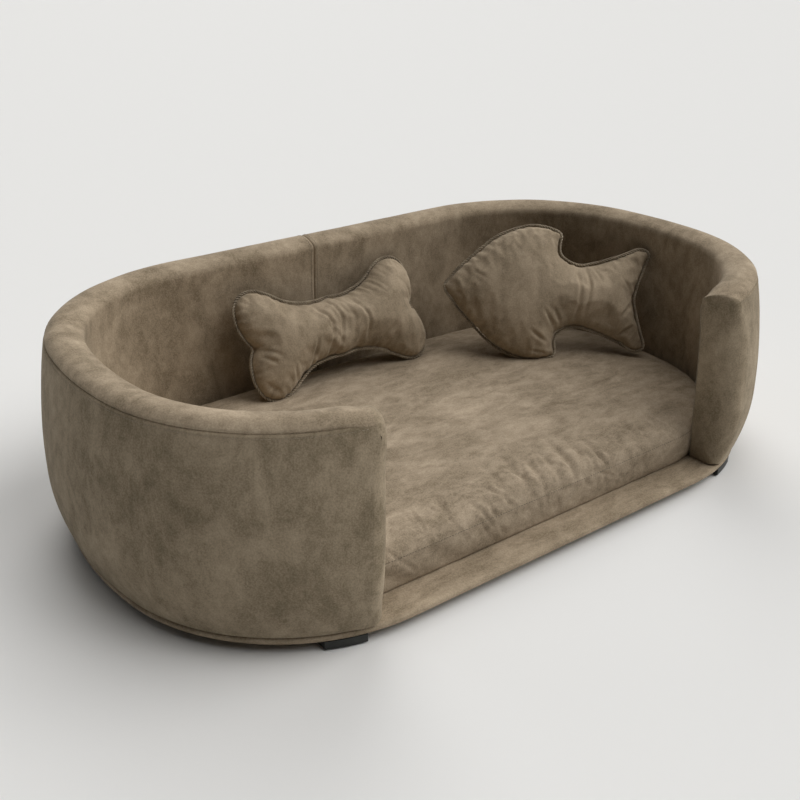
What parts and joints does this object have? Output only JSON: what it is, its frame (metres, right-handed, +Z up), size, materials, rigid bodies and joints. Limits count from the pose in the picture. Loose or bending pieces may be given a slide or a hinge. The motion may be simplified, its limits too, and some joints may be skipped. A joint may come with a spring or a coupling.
{
  "type": "pet bed",
  "caption": "Oval padded pet bed with a tall bolster wall open at the front, a low covered base on four feet, a loose zipped mattress, and two scatter pillows shaped like a bone and a fish.",
  "frame": {"origin": "on the floor under the middle of the bed", "axes": "+X along the bed's length to the right as seen from the entrance, +Y from the entrance to the back, +Z up"},
  "size_m": [1.0118, 0.6052, 0.275],
  "materials": {
    "velvet": "short-pile velvet with a mottled nap",
    "lining": "thin woven lining",
    "foam": "open-cell upholstery foam",
    "filling": "carded fibre filling",
    "wood": "bare birch plywood",
    "foot_plastic": "moulded, finely textured",
    "grip_rubber": "matt, non-slip",
    "screw_steel": "zinc plated",
    "zip_plastic": "moulded coil",
    "zip_metal": "dull plated"
  },
  "bodies": {
    "bed_frame": {"base_board": "wood", "base_cover": "velvet", "dust_cover": "lining", "foot_front_left": "foot_plastic", "foot_front_right": "foot_plastic", "foot_back_left": "foot_plastic", "foot_back_right": "foot_plastic", "foot_pads": "grip_rubber", "foot_screws": "screw_steel", "wall_fixing_screws": "screw_steel", "wall_bottom_rail": "wood", "wall_top_rail": "wood", "wall_studs": "wood", "left_end_post": "wood", "right_end_post": "wood", "frame_screws": "screw_steel", "wall_outer_panel": "wood", "wall_inner_panel": "wood", "wall_foam_front_left": "foam", "wall_foam_back_left": "foam", "wall_foam_back": "foam", "wall_foam_front_right": "foam", "wall_foam_back_right": "foam", "left_end_pad": "foam", "right_end_pad": "foam", "left_end_cover": "velvet", "right_end_cover": "velvet", "left_outer_cover": "velvet", "right_outer_cover": "velvet", "left_inner_cover": "velvet", "right_inner_cover": "velvet"},
    "mattress": {"mattress_top_cover": "velvet", "mattress_foam": "foam", "mattress_bottom_cover": "lining", "mattress_boxing": "velvet", "zip_tape": "lining", "zip_teeth": "zip_plastic"},
    "zip_slider": {"zip_slider": "zip_metal"},
    "bone_pillow": {"bone_pillow_front_cover": "velvet", "bone_pillow_back_cover": "velvet", "bone_pillow_filling": "filling", "bone_pillow_edge_flange": "velvet"},
    "fish_pillow": {"fish_pillow_front_cover": "velvet", "fish_pillow_back_cover": "velvet", "fish_pillow_filling": "filling", "fish_pillow_edge_flange": "velvet"}
  },
  "joints": [
    {"name": "mattress_lift", "type": "slide", "parent": "bed_frame", "child": "mattress", "axis": [0, 0, 1], "range_m": [0, 0.3]},
    {"name": "zip_slide", "type": "slide", "parent": "mattress", "child": "zip_slider", "axis": [1, 0, 0], "range_m": [0, 0.37]},
    {"name": "bone_pillow_lift", "type": "slide", "parent": "mattress", "child": "bone_pillow", "axis": [0, 0, 1], "range_m": [0, 0.25]},
    {"name": "fish_pillow_lift", "type": "slide", "parent": "mattress", "child": "fish_pillow", "axis": [0, 0, 1], "range_m": [0, 0.25]}
  ]
}
